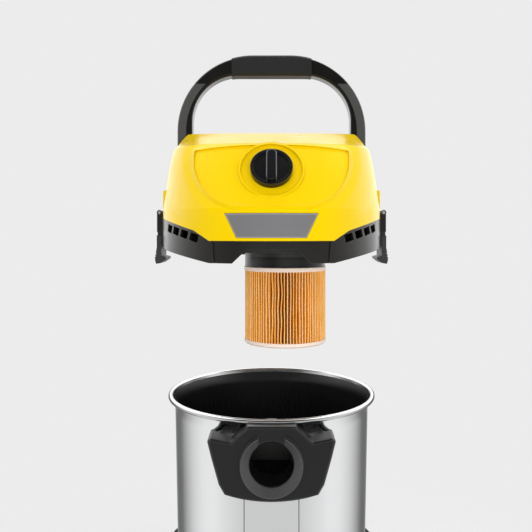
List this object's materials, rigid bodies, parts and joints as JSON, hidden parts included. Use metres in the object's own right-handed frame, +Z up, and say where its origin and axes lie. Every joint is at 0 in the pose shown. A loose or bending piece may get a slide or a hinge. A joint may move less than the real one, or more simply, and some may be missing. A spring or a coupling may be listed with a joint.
{
  "type": "shop vacuum",
  "caption": "Wet and dry drum vacuum shown opened: a motor head with folding handle, latches, rotary switch and pleated filter, lifted above a steel drum on swivel castors.",
  "frame": {"origin": "on the floor under the middle of the drum and of the castor base", "axes": "+Z up, hose inlet and switch face -Y, +X to the right seen from the front"},
  "size_m": [0.34, 0.388, 0.854],
  "materials": {
    "polished_steel": "satin polished stainless sheet",
    "black_plastic": "finely grained black moulding",
    "grey_plastic": "dark grey satin moulding",
    "yellow_plastic": "satin yellow moulding",
    "badge_grey": "bare grey plate",
    "soft_grip": "soft-touch",
    "rubber": "matt",
    "wheel_grey": "grey tread",
    "zinc_steel": "zinc plated",
    "filter_paper": "resin-treated pleated paper",
    "filter_ring": "cast end ring",
    "copper": "enamelled winding",
    "carbon": "carbon brush in holder",
    "float_white": "white float"
  },
  "bodies": {
    "container": {"drum": "polished_steel", "castor_base": "black_plastic", "base_rivets": "zinc_steel", "castor_stems": "zinc_steel", "inlet_housing": "black_plastic", "inlet_gasket": "rubber", "inlet_deflector": "grey_plastic", "inlet_screws": "zinc_steel"},
    "head": {"head_base": "black_plastic", "head_seal": "rubber", "cover": "yellow_plastic", "cover_screws": "zinc_steel", "badge_plate": "badge_grey", "blower_port": "black_plastic", "cord_gland": "rubber", "switch_body": "black_plastic", "handle_pins": "zinc_steel", "latch_pins": "zinc_steel", "filter_basket": "black_plastic", "motor_seal": "rubber", "turbine_can": "zinc_steel", "motor_frame": "grey_plastic", "stator": "zinc_steel", "field_coils": "copper", "motor_bearings": "zinc_steel", "brush_holders": "carbon", "top_mount": "rubber"},
    "handle": {"handle_bow": "black_plastic", "handle_grip": "soft_grip", "handle_trim_left": "grey_plastic", "handle_trim_right": "grey_plastic"},
    "latch_left": {"latch_left": "grey_plastic"},
    "latch_right": {"latch_right": "grey_plastic"},
    "knob": {"switch_knob": "black_plastic", "switch_shaft": "grey_plastic"},
    "filter": {"filter_pleats": "filter_paper", "filter_top_ring": "filter_ring", "filter_bottom_cap": "filter_ring", "filter_core": "grey_plastic"},
    "float": {"float_cup": "float_white"},
    "rotor": {"motor_shaft": "zinc_steel", "armature": "zinc_steel", "commutator": "copper", "turbine_wheel": "zinc_steel"},
    "castor_front_left": {"castor_fork_front_left": "black_plastic", "castor_axle_front_left": "zinc_steel"},
    "wheel_front_left": {"castor_wheel_front_left": "wheel_grey"},
    "castor_front_right": {"castor_fork_front_right": "black_plastic", "castor_axle_front_right": "zinc_steel"},
    "wheel_front_right": {"castor_wheel_front_right": "wheel_grey"},
    "castor_rear_left": {"castor_fork_rear_left": "black_plastic", "castor_axle_rear_left": "zinc_steel"},
    "wheel_rear_left": {"castor_wheel_rear_left": "wheel_grey"},
    "castor_rear_right": {"castor_fork_rear_right": "black_plastic", "castor_axle_rear_right": "zinc_steel"},
    "wheel_rear_right": {"castor_wheel_rear_right": "wheel_grey"}
  },
  "joints": [
    {"name": "head_lift", "type": "slide", "parent": "container", "child": "head", "axis": [0, 0, 1], "range_m": [-0.206, 0]},
    {"name": "handle_fold", "type": "hinge", "parent": "head", "child": "handle", "pos_m": [0, 0, 0.699], "axis": [1, 0, 0], "range_deg": [-90, 0]},
    {"name": "latch_left_swing", "type": "hinge", "parent": "head", "child": "latch_left", "pos_m": [-0.16195, 0, 0.625], "axis": [0, 1, 0], "range_deg": [-5, 60]},
    {"name": "latch_right_swing", "type": "hinge", "parent": "head", "child": "latch_right", "pos_m": [0.16195, 0, 0.625], "axis": [0, -1, 0], "range_deg": [-5, 60]},
    {"name": "switch_turn", "type": "hinge", "parent": "head", "child": "knob", "pos_m": [0, -0.12614, 0.677], "axis": [0, -0.8746, 0.4848], "range_deg": [0, 90]},
    {"name": "filter_pull", "type": "slide", "parent": "head", "child": "filter", "axis": [0, 0, 1], "range_m": [-0.105, 0]},
    {"name": "float_rise", "type": "slide", "parent": "head", "child": "float", "axis": [0, 0, 1], "range_m": [0, 0.03]},
    {"name": "rotor_spin", "type": "hinge", "parent": "head", "child": "rotor", "pos_m": [0.02, 0, 0.651], "axis": [0, 0, 1], "continuous": true},
    {"name": "castor_front_left_swivel", "type": "hinge", "parent": "container", "child": "castor_front_left", "pos_m": [-0.128, -0.152, 0.05], "axis": [0, 0, 1], "continuous": true},
    {"name": "wheel_front_left_roll", "type": "hinge", "parent": "castor_front_left", "child": "wheel_front_left", "pos_m": [-0.128, -0.137, 0.024], "axis": [1, 0, 0], "continuous": true},
    {"name": "castor_front_right_swivel", "type": "hinge", "parent": "container", "child": "castor_front_right", "pos_m": [0.128, -0.152, 0.05], "axis": [0, 0, 1], "continuous": true},
    {"name": "wheel_front_right_roll", "type": "hinge", "parent": "castor_front_right", "child": "wheel_front_right", "pos_m": [0.128, -0.137, 0.024], "axis": [1, 0, 0], "continuous": true},
    {"name": "castor_rear_left_swivel", "type": "hinge", "parent": "container", "child": "castor_rear_left", "pos_m": [-0.128, 0.152, 0.05], "axis": [0, 0, 1], "continuous": true},
    {"name": "wheel_rear_left_roll", "type": "hinge", "parent": "castor_rear_left", "child": "wheel_rear_left", "pos_m": [-0.128, 0.167, 0.024], "axis": [1, 0, 0], "continuous": true},
    {"name": "castor_rear_right_swivel", "type": "hinge", "parent": "container", "child": "castor_rear_right", "pos_m": [0.128, 0.152, 0.05], "axis": [0, 0, 1], "continuous": true},
    {"name": "wheel_rear_right_roll", "type": "hinge", "parent": "castor_rear_right", "child": "wheel_rear_right", "pos_m": [0.128, 0.167, 0.024], "axis": [1, 0, 0], "continuous": true}
  ]
}
